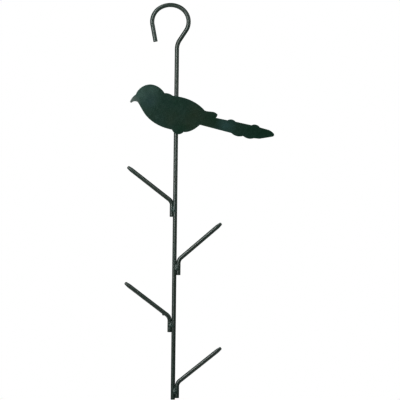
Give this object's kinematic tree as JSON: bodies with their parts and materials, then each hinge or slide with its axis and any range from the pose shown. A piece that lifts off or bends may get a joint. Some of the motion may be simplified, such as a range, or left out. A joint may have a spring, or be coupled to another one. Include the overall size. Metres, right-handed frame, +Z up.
{
  "type": "hanging bird feeder",
  "caption": "Hooked wire pole with a flat bird silhouette and rising side spikes that hold fat balls or fruit, hung from a branch or bracket.",
  "frame": {"origin": "seat of the hook: the inside of the top of its crown, where it hangs on a branch or bracket", "axes": "+Z up along the pole, +X from the bird's beak to its tail, -Y towards the front, the side the bird is on"},
  "size_m": [0.1825, 0.0101, 0.49],
  "materials": {
    "wire_coat": "satin dark green powder coat on round steel wire",
    "sheet_coat": "satin dark green powder coat on cut steel sheet",
    "weld_coat": "dark green powder coat over weld beads"
  },
  "bodies": {
    "root": {"hook_pole": "wire_coat", "bird_plate": "sheet_coat", "spike_top_left": "wire_coat", "spike_upper_right": "wire_coat", "spike_lower_left": "wire_coat", "spike_bottom_right": "wire_coat", "weld_spike_top_left": "weld_coat", "weld_spike_upper_right": "weld_coat", "weld_spike_lower_left": "weld_coat", "weld_spike_bottom_right": "weld_coat", "weld_bird_upper": "weld_coat", "weld_bird_lower": "weld_coat"}
  },
  "joints": []
}
